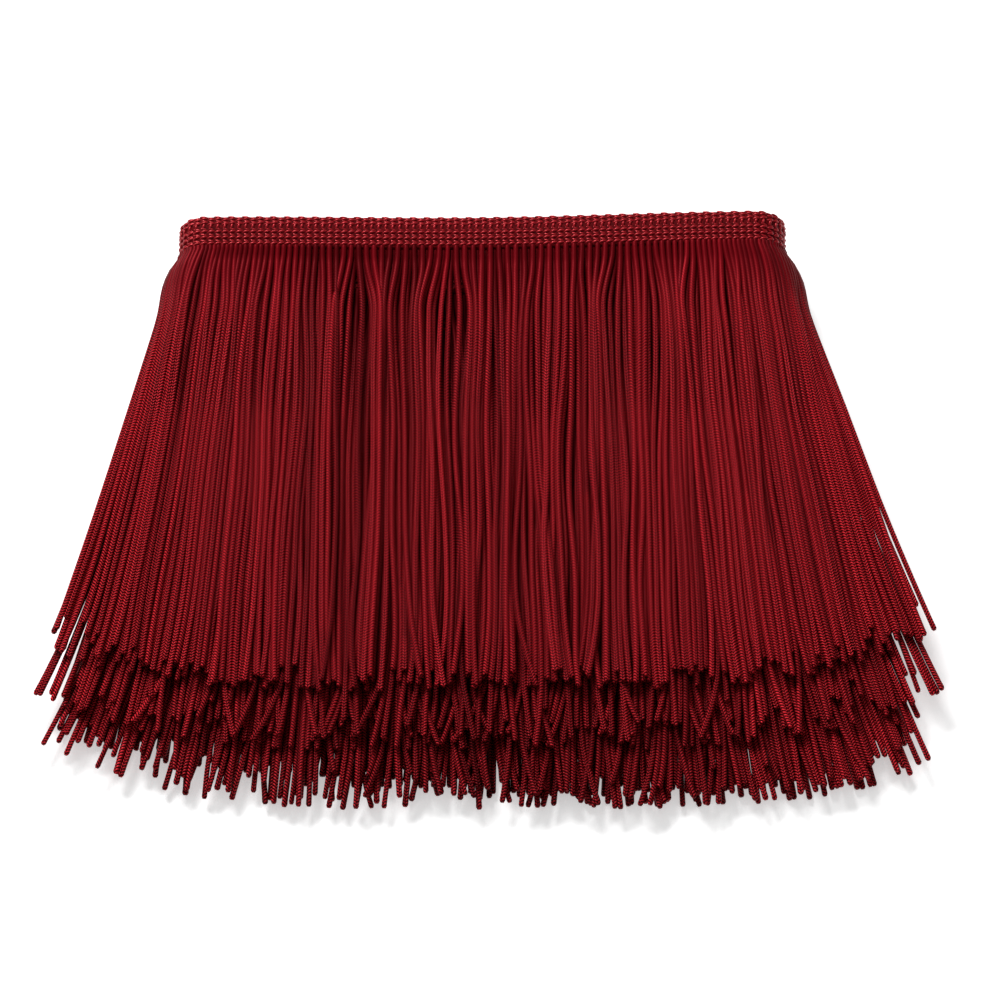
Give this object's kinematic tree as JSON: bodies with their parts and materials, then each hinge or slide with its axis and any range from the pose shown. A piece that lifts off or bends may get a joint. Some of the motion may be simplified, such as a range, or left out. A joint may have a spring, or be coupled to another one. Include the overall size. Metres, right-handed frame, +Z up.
{
  "type": "tassel fringe trim",
  "caption": "Length of chainette tassel fringe with a narrow knitted heading, wound flat into a slipped coil that lies with its cut hems in overlapping tiers.",
  "frame": {"origin": "middle of the coil's footprint, level with the surface that it lies on", "axes": "+X along the heading, +Y from the cut hem towards the heading, +Z up from the surface"},
  "size_m": [0.2416, 0.183, 0.0156],
  "materials": {
    "heading_yarn": "silky knitted viscose yarn, dark red",
    "strand_yarn": "silky chainette strands, dark red"
  },
  "bodies": {
    "root": {"heading_tape": "heading_yarn", "fringe_first_tier": "strand_yarn", "fringe_second_tier": "strand_yarn", "fringe_third_tier": "strand_yarn", "fringe_lower_layer": "strand_yarn", "fringe_bottom_layer": "strand_yarn"}
  },
  "joints": []
}
